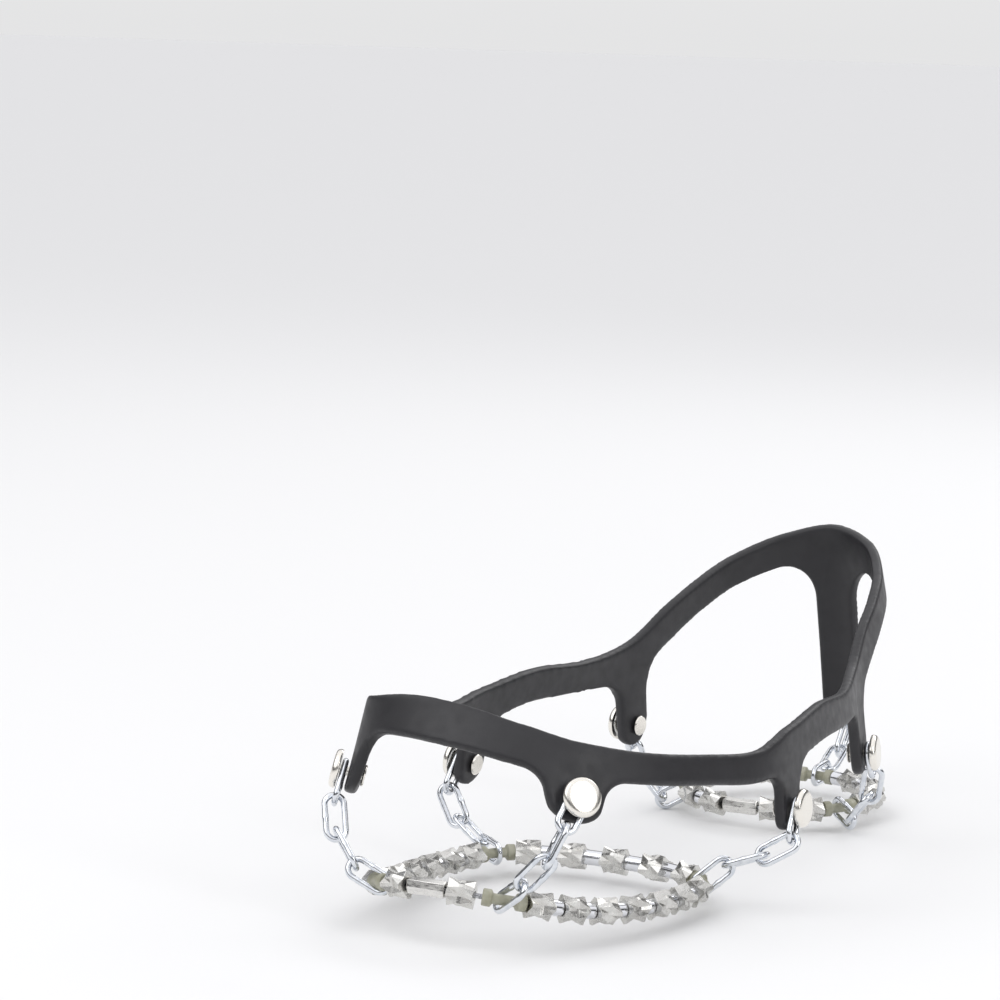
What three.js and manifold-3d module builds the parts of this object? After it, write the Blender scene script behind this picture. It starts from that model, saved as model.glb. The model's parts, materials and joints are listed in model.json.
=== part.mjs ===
// One shoe ice cleat, as it sits on a boot: a rubber harness ring, seven riveted chains of four links,
// and two steel-cable loops that carry star beads and tube spacers under the sole.
// Millimetres. Toe toward -Y, +Z up, the outer (lateral) side of the boot toward +X, z = 0 on the sole.
import * as THREE from 'three';
import Manifold from 'manifold-3d';

const manifold = await Manifold();
manifold.setup();

const GAP = 0.3;                  // clearance between neighbours that may touch
const TURN_GAP = 0.7;             // wider for straight pieces that turn on a curved cable
const UP = new THREE.Vector3(0, 0, 1);

// ---------------------------------------------------------------- driving dimensions
const BEAD = { length: 8.0, tip: 4.3, valley: 3.0, bore: 1.3 };
const SPACER_RADIUS = 2.4;
const SPOOL = { length: 13, end: 2.6, waist: 1.6, flat: 3.3, cone: 4.0, bore: 1.2 };
const CABLE_RADIUS = 0.8;
const FERRULE = { length: 12, radius: 2.6 };
const LINK = { wire: 1.0, half: 7.0, bend: 2.95 };    // wire radius, half length and end radius of the centre line
const RIVET = { post: 1.4, cap: 6.0, dome: 2.3, back: 3.4, backThick: 0.8, backGap: 0.8 };
const RUBBER = { thick: 3.6, tabHalf: 7.6, tabFoot: 6.6, fillet: 8, rearFillet: 14 };
const LOOP_Z = -4.8;              // cable height below the sole
const TOE_SPRING = { from: -85, over: 50, rise: 7.7 };
const HEEL_LOOP = { radius: 32.5, y: 96, spoolAngle: 62 };

// Harness stations, from the inner toe tab round the toe, the outer side, the heel and back:
// strap centre [x, y, z], the shoe's flank below it at rivet height [x, y, z], strap half width, tab name.
const STATIONS = [
  [[-40, -122, 50], [-46, -120, 31], 6.0, 'toe_medial'],
  [[-22, -131, 53], [-30, -138, 32], 6.4],
  [[-3, -133, 52], [-6, -148, 33], 6.4],
  [[15, -129, 48], [17, -141, 32], 6.0],
  [[29, -121, 44], [31, -125, 33], 5.2, 'toe_lateral'],
  [[44, -102, 40], [48, -104, 27], 4.5],
  [[52, -79, 37], [56, -80, 23], 4.4],
  [[58, -56, 35], [61, -56, 21], 4.6],
  [[59, -36, 38], [60, -37, 19.5], 6.0, 'mid_lateral'],
  [[56, -5, 41], [59, -5, 22], 5.6],
  [[50, 30, 40], [53, 32, 21], 5.0],
  [[42, 56, 42], [43, 61, 19], 6.4, 'heel_lateral'],
  [[37, 76, 52], [41, 82, 21], 6.2],
  [[33, 95, 61], [38, 105, 21], 5.6],
  [[27, 113, 68], [31, 128, 21], 5.4],
  [[16, 129, 75], [17, 144, 22], 5.6],
  [[0, 136, 78], [0, 149, 19], 6.2, 'rear'],
  [[-15, 129, 75], [-16, 144, 22], 5.6],
  [[-28, 113, 68], [-32, 128, 21], 5.4],
  [[-33, 95, 61], [-37, 105, 21], 5.6],
  [[-37, 76, 52], [-40, 82, 21], 6.2],
  [[-41, 58, 42], [-41, 62, 19], 6.4, 'heel_medial'],
  [[-45, 30, 40], [-48, 32, 21], 5.0],
  [[-48, -3, 41], [-51, -4, 22], 5.4],
  [[-50, -34, 38], [-52, -36, 20], 6.0, 'mid_medial'],
  [[-49, -56, 38], [-53, -56, 22], 4.6],
  [[-48, -79, 41], [-52, -79, 24], 4.4],
  [[-45, -102, 46], [-50, -102, 28], 4.8],
];

// ---------------------------------------------------------------- materials
const steel = (color, roughness) => new THREE.MeshStandardMaterial({ color, roughness, metalness: 1 });
const MATERIALS = {
  rubber: new THREE.MeshStandardMaterial({ color: 0x29292d, roughness: 0.6 }),
  plastic: new THREE.MeshStandardMaterial({ color: 0xa5a58f, roughness: 0.5 }),
  bead: steel(0xc4c4c0, 0.45),
  spacer: steel(0xd8dade, 0.15),
  link: steel(0xc2c6cc, 0.2),
  rivet: steel(0xe4e0d6, 0.15),
  cable: steel(0x9a9ca0, 0.4),
  ferrule: steel(0xc8c8c4, 0.3),
};

const part = new THREE.Group();
part.name = 'shoe_ice_cleat';
function add(name, geometry, material) {
  const mesh = new THREE.Mesh(geometry, MATERIALS[material]);
  mesh.name = name;
  part.add(mesh);
  return mesh;
}

// ---------------------------------------------------------------- helpers
const vec = (p) => new THREE.Vector3(...p);
const across = (v, axis) => v.clone().addScaledVector(axis, -v.dot(axis)).normalize();

// A solid from rings of points, where the last ring joins the first.
function ringSolid(rings) {
  const count = rings[0].length;
  const index = [];
  rings.forEach((_, i) => {
    const a = i * count;
    const b = ((i + 1) % rings.length) * count;
    for (let k = 0; k < count; k += 1) {
      const next = (k + 1) % count;
      index.push(a + k, a + next, b + k, a + next, b + next, b + k);
    }
  });
  const geometry = new THREE.BufferGeometry();
  geometry.setAttribute('position', new THREE.Float32BufferAttribute(rings.flat().flatMap((p) => p.toArray()), 3));
  geometry.setIndex(index);
  return geometry;
}

// The plane across a cable at a distance along it: origin, tangent, sideways and up.
function crossPlane(path, distance) {
  const share = (((distance / path.total) % 1) + 1) % 1;
  const at = path.curve.getPointAt(share);
  const along = path.curve.getTangentAt(share);
  const side = new THREE.Vector3().crossVectors(UP, along).normalize();
  return { at, along, side, up: new THREE.Vector3().crossVectors(along, side) };
}

function ringAt(plane, radii) {
  return radii.map((r, k) => {
    const angle = (k / radii.length) * Math.PI * 2;
    return plane.at.clone().addScaledVector(plane.side, r * Math.cos(angle)).addScaledVector(plane.up, r * Math.sin(angle));
  });
}

// A sleeve on the cable from stations [distance, radii], with a round bore.
function sleeve(planeOf, stations, bore) {
  const outer = stations.map(([distance, radii]) => ringAt(planeOf(distance), radii));
  const distances = [...new Set(stations.map(([distance]) => distance))].reverse();
  const count = stations[0][1].length;
  const inner = distances.map((distance) => ringAt(planeOf(distance), Array(count).fill(bore)));
  return ringSolid([...outer, ...inner]);
}

const curved = (path) => (distance) => crossPlane(path, distance);
// Straight pieces that turn on the cable keep the middle plane's directions.
function straight(path, middle) {
  const plane = crossPlane(path, middle);
  return (distance) => ({ ...plane, at: plane.at.clone().addScaledVector(plane.along, distance - middle) });
}

// ---------------------------------------------------------------- cable loops
function loopPath(points) {
  const curve = new THREE.CatmullRomCurve3(points, true, 'centripetal');
  curve.arcLengthDivisions = points.length * 120;
  const lengths = curve.getLengths();
  return { curve, total: curve.getLength(), at: (index) => lengths[index * 120] };
}

function toeLift(y) {
  const reach = Math.max(0, TOE_SPRING.from - y) / TOE_SPRING.over;
  return TOE_SPRING.rise * reach * reach;
}

// the front cable's plan, clockwise from the inner toe spool, with the spools named
const FRONT_POINTS = [
  [-29, -134, 'toe_medial'], [-8, -142], [14, -135, 'toe_lateral'], [31, -111], [41, -80],
  [39, -51, 'mid_lateral'], [24, -41], [2, -38], [-21, -41], [-34, -50, 'mid_medial'], [-41, -78], [-38, -111],
];
const frontPath = loopPath(FRONT_POINTS.map(([x, y]) => new THREE.Vector3(x, y, LOOP_Z + toeLift(y))));
const frontSpool = (name) => frontPath.at(FRONT_POINTS.findIndex((point) => point[2] === name));
const HEEL_STEPS = 36;
const heelPath = loopPath(Array.from({ length: HEEL_STEPS }, (_, k) => {
  const angle = THREE.MathUtils.degToRad(-90 + HEEL_LOOP.spoolAngle) + (k / HEEL_STEPS) * Math.PI * 2;
  return new THREE.Vector3(
    HEEL_LOOP.radius * Math.cos(angle), HEEL_LOOP.y + HEEL_LOOP.radius * Math.sin(angle), LOOP_Z);
}));
const heelAt = (degrees) => (degrees / 360) * heelPath.total;
const heelSide = 180 - HEEL_LOOP.spoolAngle;

// where each chain's spool sits: its path and the distance along it
const SPOOLS = {
  toe_medial: [frontPath, frontSpool('toe_medial')],
  toe_lateral: [frontPath, frontSpool('toe_lateral')],
  mid_lateral: [frontPath, frontSpool('mid_lateral')],
  mid_medial: [frontPath, frontSpool('mid_medial')],
  heel_lateral: [heelPath, 0],
  rear: [heelPath, heelAt(heelSide)],
  heel_medial: [heelPath, heelAt(2 * heelSide)],
};

const round = (radius, sides) => Array(sides).fill(radius);
const starRing = (even, odd) => Array.from({ length: 8 }, (_, k) => (k % 2 ? odd : even));

function starStations(start) {
  const { length, tip, valley } = BEAD;
  return [
    [start, starRing(tip, valley)],
    [start + length / 2, starRing(valley, tip)],
    [start + length, starRing(tip, valley)],
  ];
}

function spacerStations(start, length) {
  return [[start, round(SPACER_RADIUS, 8)], [start + length, round(SPACER_RADIUS, 8)]];
}

// A whole run of beads and spacers between two spools, joined into one sleeve.
// leads and trails say whether a spacer stands at the first or the last end.
function beadRun(name, path, from, to, beads, leads = false, trails = false) {
  const start = from + SPOOL.length / 2 + GAP;
  const end = to - SPOOL.length / 2 - GAP;
  const spacers = beads - 1 + Number(leads) + Number(trails);
  const spacer = (end - start - beads * BEAD.length) / spacers;
  const stations = [];
  let place = start;
  for (let k = 0; k < beads; k += 1) {
    if (k > 0 || leads) {
      stations.push(...spacerStations(place, spacer));
      place += spacer;
    }
    stations.push(...starStations(place));
    place += BEAD.length;
  }
  if (trails) stations.push(...spacerStations(place, spacer));
  add(name, sleeve(curved(path), stations, BEAD.bore), 'bead');
}

// One piece that turns freely on the cable, with its axle line for the joint.
function turningPiece(name, path, start, length, stations, material) {
  const middle = start + length / 2;
  const mesh = add(name, sleeve(straight(path, middle), stations, BEAD.bore), material);
  const plane = crossPlane(path, middle);
  mesh.userData.hinge = { at: plane.at, axis: plane.along };
}

function crimp(name, path, middle) {
  const { length, radius } = FERRULE;
  const stations = [-1, 0, 1].map((side) => [middle + (side * length) / 2, round(radius, 8)]);
  add(name, sleeve(curved(path), stations, SPOOL.bore), 'ferrule');
}

function cable(name, path, steps) {
  add(name, new THREE.TubeGeometry(path.curve, steps, CABLE_RADIUS, 6, true), 'cable');
}

function spool(name, path, middle) {
  const { length, end, waist, flat, cone, bore } = SPOOL;
  const profile = [[-length / 2, end], [-cone, end], [-flat, waist], [flat, waist], [cone, end], [length / 2, end]];
  const stations = profile.map(([offset, radius]) => [middle + offset, round(radius, 10)]);
  add(name, sleeve(curved(path), stations, bore), 'plastic');
}

function frontLoop() {
  cable('front_cable', frontPath, 72);
  const toeLateral = frontSpool('toe_lateral');
  const midLateral = frontSpool('mid_lateral');
  const midMedial = frontSpool('mid_medial');
  const crimpAt = toeLateral / 2;
  crimp('front_ferrule', frontPath, crimpAt);
  const first = crimpAt - FERRULE.length / 2 - TURN_GAP - BEAD.length;
  const second = crimpAt + FERRULE.length / 2 + TURN_GAP;
  turningPiece('toe_bead_medial', frontPath, first, BEAD.length, starStations(first), 'bead');
  turningPiece('toe_bead_lateral', frontPath, second, BEAD.length, starStations(second), 'bead');
  beadRun('beads_front_lateral', frontPath, toeLateral, midLateral, 7);
  beadRun('beads_front_rear', frontPath, midLateral, midMedial, 5);
  beadRun('beads_front_medial', frontPath, midMedial, frontPath.total, 7);
}

function heelLoop() {
  cable('heel_cable', heelPath, 48);
  beadRun('beads_heel_lateral', heelPath, 0, heelAt(heelSide), 4, false, true);
  beadRun('beads_heel_medial', heelPath, heelAt(heelSide), heelAt(2 * heelSide), 4, true, false);
  const start = heelAt(2 * heelSide) + SPOOL.length / 2 + TURN_GAP;
  const end = heelPath.total - SPOOL.length / 2 - TURN_GAP;
  const middle = (start + end) / 2;
  crimp('heel_ferrule', heelPath, middle);
  const half = middle - FERRULE.length / 2 - start;
  const spacer = half - 2 * BEAD.length - 3 * TURN_GAP;
  [['medial', start], ['lateral', middle + FERRULE.length / 2 + TURN_GAP]].forEach(([side, place]) => {
    const second = place + BEAD.length + TURN_GAP;
    const third = second + spacer + TURN_GAP;
    turningPiece(`heel_bead_${side}_1`, heelPath, place, BEAD.length, starStations(place), 'bead');
    turningPiece(`heel_spacer_${side}`, heelPath, second, spacer, spacerStations(second, spacer), 'spacer');
    turningPiece(`heel_bead_${side}_2`, heelPath, third, BEAD.length, starStations(third), 'bead');
  });
}

// ---------------------------------------------------------------- rubber harness
const strap = new THREE.CatmullRomCurve3(STATIONS.map(([centre]) => vec(centre)), true, 'centripetal');
const flank = new THREE.CatmullRomCurve3(STATIONS.map(([, low]) => vec(low)), true, 'centripetal');
strap.arcLengthDivisions = STATIONS.length * 40;
const strapLengths = strap.getLengths();
const strapTotal = strap.getLength();

// The strap at a share of its stations: centre, downward direction, half width,
// and the outward directions at the strap and at rivet height.
function strapFrame(share) {
  const centre = strap.getPoint(share);
  const drop = flank.getPoint(share).sub(centre);
  const down = drop.clone().normalize();
  const facing = (curve) => new THREE.Vector3().crossVectors(down, across(curve.getTangent(share), down));
  const place = share * STATIONS.length;
  const before = STATIONS[Math.floor(place) % STATIONS.length][2];
  const after = STATIONS[Math.ceil(place) % STATIONS.length][2];
  const half = THREE.MathUtils.lerp(before, after, THREE.MathUtils.smoothstep(place % 1, 0, 1));
  return { centre, drop: drop.length(), down, strapOutward: facing(strap), outward: facing(flank), half };
}

const TABS = STATIONS.flatMap(([, , , name], index) => {
  if (!name) return [];
  const frame = strapFrame(index / STATIONS.length);
  const fillet = name === 'rear' ? RUBBER.rearFillet : RUBBER.fillet;
  return [{ name, frame, fillet, distance: strapLengths[index * 40] }];
});

function tabDistance(tab, distance) {
  const apart = Math.abs(distance - tab.distance) % strapTotal;
  return Math.min(apart, strapTotal - apart);
}

// How far the rubber's lower edge hangs below the strap centre.
function lowerEdge(distance, half) {
  const { tabHalf, tabFoot } = RUBBER;
  let edge = half;
  TABS.forEach((tab) => {
    const apart = tabDistance(tab, distance);
    if (apart <= tabHalf) {
      edge = tab.frame.drop + tabFoot * Math.sqrt(1 - (apart / tabHalf) ** 2);
    } else if (apart < tabHalf + tab.fillet) {
      const inward = tabHalf + tab.fillet - apart;
      edge = half + tab.fillet - Math.sqrt(tab.fillet ** 2 - inward ** 2);
    }
  });
  return edge;
}

function harnessColumns() {
  const { tabHalf } = RUBBER;
  const columns = [];
  TABS.forEach((tab, k) => {
    const shares = [0, 0.4, 0.75, 0.93, 1];
    const offsets = [...shares.map((s) => s * tabHalf), ...[0.03, 0.2, 0.5, 1].map((s) => tabHalf + s * tab.fillet)];
    offsets.forEach((offset) => {
      columns.push(tab.distance + offset);
      if (offset) columns.push(tab.distance - offset);
    });
    const next = TABS[(k + 1) % TABS.length];
    const from = tab.distance + tabHalf + tab.fillet;
    const to = next.distance + (k + 1 === TABS.length ? strapTotal : 0) - tabHalf - next.fillet;
    const steps = Math.ceil((to - from) / 11);
    for (let step = 1; step < steps; step += 1) columns.push(from + ((to - from) * step) / steps);
  });
  return columns.map((d) => (d + strapTotal) % strapTotal).sort((a, b) => a - b);
}

function harnessSolid() {
  const rings = harnessColumns().map((distance) => {
    const frame = strapFrame(strap.getUtoTmapping(distance / strapTotal));
    const low = lowerEdge(distance, frame.half);
    const turn = THREE.MathUtils.clamp(low / frame.drop, 0, 1);
    const lowOutward = frame.strapOutward.clone().lerp(frame.outward, turn).normalize();
    const point = (depth, outward, side) => frame.centre.clone()
      .addScaledVector(frame.down, depth).addScaledVector(outward, (side * RUBBER.thick) / 2);
    const { half, strapOutward } = frame;
    return [
      point(-half, strapOutward, 1), point(low, lowOutward, 1),
      point(low, lowOutward, -1), point(-half, strapOutward, -1),
    ];
  });
  return ringSolid(rings);
}

// ---------------------------------------------------------------- manifold for the rivet holes
function toManifold(geometry) {
  const { position } = geometry.attributes;
  const mesh = new manifold.Mesh({
    numProp: 3,
    vertProperties: new Float32Array(position.array),
    triVerts: new Uint32Array(geometry.index.array),
  });
  mesh.merge();
  return new manifold.Manifold(mesh);
}

function fromManifold(solid) {
  const mesh = solid.getMesh();
  const geometry = new THREE.BufferGeometry();
  geometry.setAttribute('position', new THREE.Float32BufferAttribute(mesh.vertProperties, 3));
  geometry.setIndex([...mesh.triVerts]);
  return geometry;
}

// Matrix that stands a +Z shape at a place along an axis.
function standing(at, axis) {
  const turn = new THREE.Quaternion().setFromUnitVectors(UP, axis);
  return new THREE.Matrix4().compose(at, turn, new THREE.Vector3(1, 1, 1));
}

function harness() {
  let solid = toManifold(harnessSolid());
  TABS.forEach(({ frame }) => {
    const at = frame.centre.clone().addScaledVector(frame.down, frame.drop);
    const radius = RIVET.post + GAP;
    const drill = manifold.Manifold.cylinder(2 * RUBBER.thick, radius, radius, 14, true);
    solid = solid.subtract(drill.transform(standing(at, frame.outward).toArray()));
  });
  add('harness', fromManifold(solid), 'rubber');
}

// ---------------------------------------------------------------- rivets and chains
function rivet(name, at, outward) {
  const back = -RUBBER.thick / 2 - RIVET.backGap;
  const under = RUBBER.thick / 2 + SEAT_GAP + 2 * LINK.wire + GAP;
  const { post, cap, dome, back: backRadius, backThick } = RIVET;
  const outline = [
    [0, back - backThick], [backRadius, back - backThick], [backRadius, back], [post, back], [post, under],
    [cap - 0.5, under], [cap, under + 0.5], [cap * 0.85, under + 0.65 * dome], [cap * 0.5, under + 0.92 * dome],
    [0, under + dome],
  ].map(([x, y]) => new THREE.Vector2(x, y));
  const geometry = new THREE.LatheGeometry(outline, 14).rotateX(Math.PI / 2);
  add(name, geometry.applyMatrix4(standing(at, outward)), 'rivet');
}

// The link's centre line, a stadium in its own XY plane, long along X.
class LinkCurve extends THREE.Curve {
  getPoint(share) {
    const { half, bend } = LINK;
    const side = 2 * (half - bend);
    const arc = Math.PI * bend;
    let place = (share % 1) * 2 * (side + arc);
    const flip = place >= side + arc ? -1 : 1;
    if (flip < 0) place -= side + arc;
    const point = new THREE.Vector3();
    if (place <= arc) {
      const angle = place / bend - Math.PI / 2;
      point.set(half - bend + bend * Math.cos(angle), bend * Math.sin(angle), 0);
    } else {
      point.set(half - bend - (place - arc), bend, 0);
    }
    return point.multiplyScalar(flip);
  }
}

function link(name, centre, along, normal) {
  const geometry = new THREE.TubeGeometry(new LinkCurve(), 14, LINK.wire, 6, true);
  const side = new THREE.Vector3().crossVectors(normal, along);
  const place = new THREE.Matrix4().makeBasis(along, side, normal).setPosition(centre);
  return add(name, geometry.applyMatrix4(place), 'link');
}

const SLACK = 0.4;                // play between links that pull on each other
const CROSSING = 2 * LINK.wire + SLACK;          // between the end wires of two hooked links
const HOOK = LINK.half - CROSSING;               // from a standing link's centre to its neighbour's end wire
const SEAT_GAP = 0.6;             // between the rubber and the link that lies on it
const SQUARENESS = 1;             // how much a cable link prefers to stand square to its cable
const KNEE_PLAY = 0.85;           // extra play where links 2 and 3 meet, so that each can swing
const MIDDLE_SPAN = 21.9;         // reach of the two middle links together

// Turn the cable link up from the cable until the two middle links just reach.
function liftAngle(reachAt) {
  let low = -0.6;
  let high = 0.7;
  for (let round = 0; round < 40; round += 1) {
    const middle = (low + high) / 2;
    if (reachAt(middle) > MIDDLE_SPAN) low = middle;
    else high = middle;
  }
  return (low + high) / 2;
}

// How far a hooked flat link's end moves when it leaves the standing link's plane:
// into is the standing link's direction from the joint, flat the other link's.
function hookShift(into, normal, flat) {
  const lean = flat.dot(normal);
  const lost = 1 - Math.sqrt(1 - lean * lean);
  return into.clone().multiplyScalar(-CROSSING * lost).addScaledVector(normal, -CROSSING * lean);
}

// Links 1, 2 and 3 between the rivet link's lower end and the cable.
// shifts are the hooks' corrections, at the joints 4-3, 3-2 and 2-1.
function bridge(top, cableLink, shifts) {
  const start = top.clone().sub(shifts[0]);
  const endAt = (angle) => cableLink.outerEnd(angle).add(shifts[2]);
  const goalAt = (angle) => endAt(angle).sub(shifts[1]);
  const angle = liftAngle((value) => goalAt(value).distanceTo(start));
  const span = goalAt(angle).sub(start);
  const base = span.length();
  span.normalize();
  const reach3 = 2 * HOOK - KNEE_PLAY;
  const foot = (reach3 ** 2 - (2 * LINK.half) ** 2 + base ** 2) / (2 * base);
  const bow = Math.sqrt(Math.max(0, reach3 ** 2 - foot ** 2));
  const away = across(cableLink.away, span);
  const bend = start.clone().addScaledVector(span, foot).addScaledVector(away, bow);
  const along3 = bend.clone().sub(start).normalize();
  const knee = bend.add(shifts[1]);
  const end = endAt(angle);
  return { angle, along3, centre3: start.addScaledVector(along3, HOOK), knee, end, along2: end.clone().sub(knee).normalize() };
}

function chain({ name, frame }) {
  const [path, distance] = SPOOLS[name];
  const tabPoint = frame.centre.clone().addScaledVector(frame.down, frame.drop);
  rivet(`rivet_${name}`, tabPoint, frame.outward);

  const post = tabPoint.clone().addScaledVector(frame.outward, RUBBER.thick / 2 + SEAT_GAP + LINK.wire);
  const { at: hub, along: axle } = crossPlane(path, distance);
  spool(`spool_${name}`, path, distance);

  // link 4 lies on the rubber and hangs toward the spool
  const along4 = across(hub.clone().sub(post), frame.outward);
  const centre4 = post.clone().addScaledVector(along4, LINK.half - LINK.wire - RIVET.post - SLACK);
  const end4 = centre4.clone().addScaledVector(along4, LINK.half);
  const pin4 = new THREE.Vector3().crossVectors(frame.outward, along4);

  // link 1 stands round the spool's waist, part way between square to the cable and the chain's line
  const level = post.clone().sub(hub).setZ(0).normalize();
  const square = across(level, axle.clone().setZ(0).normalize());
  const outward1 = level.clone().addScaledVector(square, SQUARENESS).normalize();
  const cosSlant = Math.sqrt(1 - outward1.dot(axle) ** 2);
  const seat = LINK.half - (LINK.wire + SPOOL.waist + SLACK) / cosSlant;
  const rising = (angle) => outward1.clone().multiplyScalar(Math.cos(angle)).addScaledVector(UP, Math.sin(angle));
  const cableLink = {
    outerEnd: (angle) => hub.clone().addScaledVector(rising(angle), seat + HOOK),
    away: frame.outward.clone().sub(UP),
  };
  const facing = axle.dot(pin4) < 0 ? axle.clone().negate() : axle;

  // links 3 and 2 bridge the rest and bow away from the shoe
  let shifts = [0, 0, 0].map(() => new THREE.Vector3());
  let links;
  for (let round = 0; round < 6; round += 1) {
    const { angle, along3, centre3, knee, end, along2 } = bridge(end4, cableLink, shifts);
    const along1 = rising(angle).negate();
    const normal3 = across(pin4, along3);
    const normal1 = across(facing, along1);
    const normal2 = new THREE.Vector3().crossVectors(along2, normal3.clone().multiplyScalar(1.2).add(normal1)).normalize();
    shifts = [
      hookShift(along3, normal3, along4.clone().negate()),
      hookShift(along3.clone().negate(), normal3, along2),
      hookShift(along1, normal1, along2.clone().negate()),
    ];
    links = [
      { centre: hub.clone().addScaledVector(along1, -seat), along: along1, normal: normal1, at: hub, axis: axle },
      {
        centre: knee.clone().add(end).multiplyScalar(0.5), along: along2, normal: normal2,
        at: end, axis: new THREE.Vector3().crossVectors(normal2, along2),
      },
      { centre: centre3, along: along3, normal: normal3, at: end4, axis: pin4 },
      { centre: centre4, along: along4, normal: frame.outward, at: post, axis: frame.outward },
    ];
  }
  links.forEach(({ centre, along, normal, at, axis }, k) => {
    link(`link_${name}_${k + 1}`, centre, along, normal).userData.hinge = { at, axis };
  });
}

harness();
TABS.forEach(chain);
frontLoop();
heelLoop();

export default part;
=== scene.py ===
"""The looks of one shoe ice cleat: rubber harness, riveted chains and two cable loops of star beads."""
import json
import math
import random

import bpy
import numpy
from mathutils import Matrix, Vector

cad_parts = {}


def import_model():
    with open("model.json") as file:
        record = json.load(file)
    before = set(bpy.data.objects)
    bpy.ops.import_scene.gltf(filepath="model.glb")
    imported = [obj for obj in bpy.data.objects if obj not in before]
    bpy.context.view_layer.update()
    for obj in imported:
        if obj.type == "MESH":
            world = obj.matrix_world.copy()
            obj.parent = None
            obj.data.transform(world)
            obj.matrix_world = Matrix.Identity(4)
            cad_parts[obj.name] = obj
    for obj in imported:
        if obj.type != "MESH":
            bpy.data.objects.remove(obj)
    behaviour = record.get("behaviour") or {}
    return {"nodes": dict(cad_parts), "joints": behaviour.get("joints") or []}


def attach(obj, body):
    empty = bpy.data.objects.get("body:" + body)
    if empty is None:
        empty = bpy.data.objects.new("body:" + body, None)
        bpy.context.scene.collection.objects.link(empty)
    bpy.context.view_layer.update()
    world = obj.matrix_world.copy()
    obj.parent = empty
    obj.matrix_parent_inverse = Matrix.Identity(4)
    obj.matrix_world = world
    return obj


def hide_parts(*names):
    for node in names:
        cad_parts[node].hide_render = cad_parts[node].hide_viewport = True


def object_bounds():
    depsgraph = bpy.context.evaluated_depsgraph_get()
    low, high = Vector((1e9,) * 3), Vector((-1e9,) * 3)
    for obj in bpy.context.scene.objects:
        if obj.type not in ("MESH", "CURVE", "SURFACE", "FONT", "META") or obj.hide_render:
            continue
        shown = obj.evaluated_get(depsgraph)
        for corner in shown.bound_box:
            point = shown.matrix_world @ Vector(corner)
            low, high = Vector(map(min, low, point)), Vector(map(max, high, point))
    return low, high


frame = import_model()
cad_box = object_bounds()

MM = 0.001
UP = Vector((0, 0, 1))
NODES = frame["nodes"]
JOINTS = {joint["name"]: joint for joint in frame["joints"]}
SITES = ("toe_medial", "toe_lateral", "mid_lateral", "mid_medial", "heel_lateral", "heel_medial", "rear")

# ---------------------------------------------------------------- driving dimensions, in millimetres
GAP = 0.3                # between pieces threaded on a cable
TURN_GAP = 0.7           # the same where the pieces turn freely
LIP = 0.25               # countersink of every bore
AXIS_GAP = 0.02          # a turned solid's end rows stop this far from its axis
BEAD = {
    "length": 8.0, "tip": 4.3, "peak": 4.2, "valley": 3.0, "notch": 0.5, "bore": 1.3, "edge": 0.1,
    "ribs": 8, "flat": math.radians(8), "turn": math.radians(16),
}
SPACER = {"radius": 2.4, "bore": 1.6, "chamfer": 0.2, "play": 0.1, "sides": 32}
SPOOL = {
    "length": 13.0, "end": 2.6, "waist": 1.6, "flat": 3.3, "cone": 4.0, "bore": 1.2,
    "round": 0.35, "round_in": 0.1, "round_down": 0.12, "ease": 0.15, "sides": 32,
}
FERRULE = {
    "length": 12.0, "radius": 3.0, "bore": 1.2,
    "flats": 8, "flat_share": 0.9, "bite": 1.6, "edge": 0.18,
}
CABLE = {"radius": 0.8, "strands": 6, "lay": 8.0, "groove": 0.16, "step": 0.9, "sides": 24}
LINK = {
    "wire": 0.96, "half": 7.0, "bend": 2.95, "weld": 0.16, "weld_length": 0.9,
    "sides": 14, "turn_steps": 18, "run_steps": 14,
}
RIVET = {
    "post": 1.4, "cap": 6.0, "rim": 0.9, "dome": 2.3, "flatness": 7.0,
    "back": 3.4, "back_thick": 0.8, "back_gap": 0.8, "back_edge": 0.3, "sides": 48, "crown_rows": 18,
}
RUBBER = {"thick": 3.6, "tab_half": 7.6, "tab_foot": 6.6, "fillet": 8.0, "rear_fillet": 14.0}
# The rubber is built a little full, because softening its edges shrinks it.
SKIN = {"step": 0.8, "depth_steps": 6, "swell": 0.3, "extra": 0.1, "corner": 0.02, "voxel": 0.5, "rounds": 44}
SEAT_GAP = 0.6           # between the rubber and the link that lies on it
SEAT_WIRE = 1.0          # the CAD link's wire radius, which sets the height of the rivet's cap
LOOP_Z = -4.8
TOE_SPRING = {"from": -85, "over": 50, "rise": 7.7}
HEEL_LOOP = {"radius": 32.5, "y": 96, "spool_angle": 62, "points": 36}

# The view and the studio, in metres and degrees.
VIEW = {"azimuth": 27.85, "elevation": 7.15, "roll": 1.68, "place": (0.51075, -1.085, 0.2549), "lens": 135.2}
FLOOR = {"size": 80, "gap": 0.0002}
LIGHTS_AIM = (0, 0, 0.03)
LIGHTS = (
    ("key", (-0.7, -1.1, 1.3), (1.7, 1.7), 8.5),
    ("side", (1.5, -0.5, 0.7), (0.4, 1.0), 4),
    ("back", (0.2, 1.4, 1.0), (1.4, 0.5), 4),
)
# Sky brightness by height, from the horizon at 0 to straight up at 1.
SKY_BANDS = ((0.0, 0.85), (0.03, 0.7), (0.07, 0.1), (0.3, 0.06), (0.42, 0.8), (1.0, 1.0))
SKY_STRENGTH = 1.15
HAZE = ((0.0, (0.78, 0.78, 0.785)), (0.2, (0.94, 0.94, 0.94)))

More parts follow.
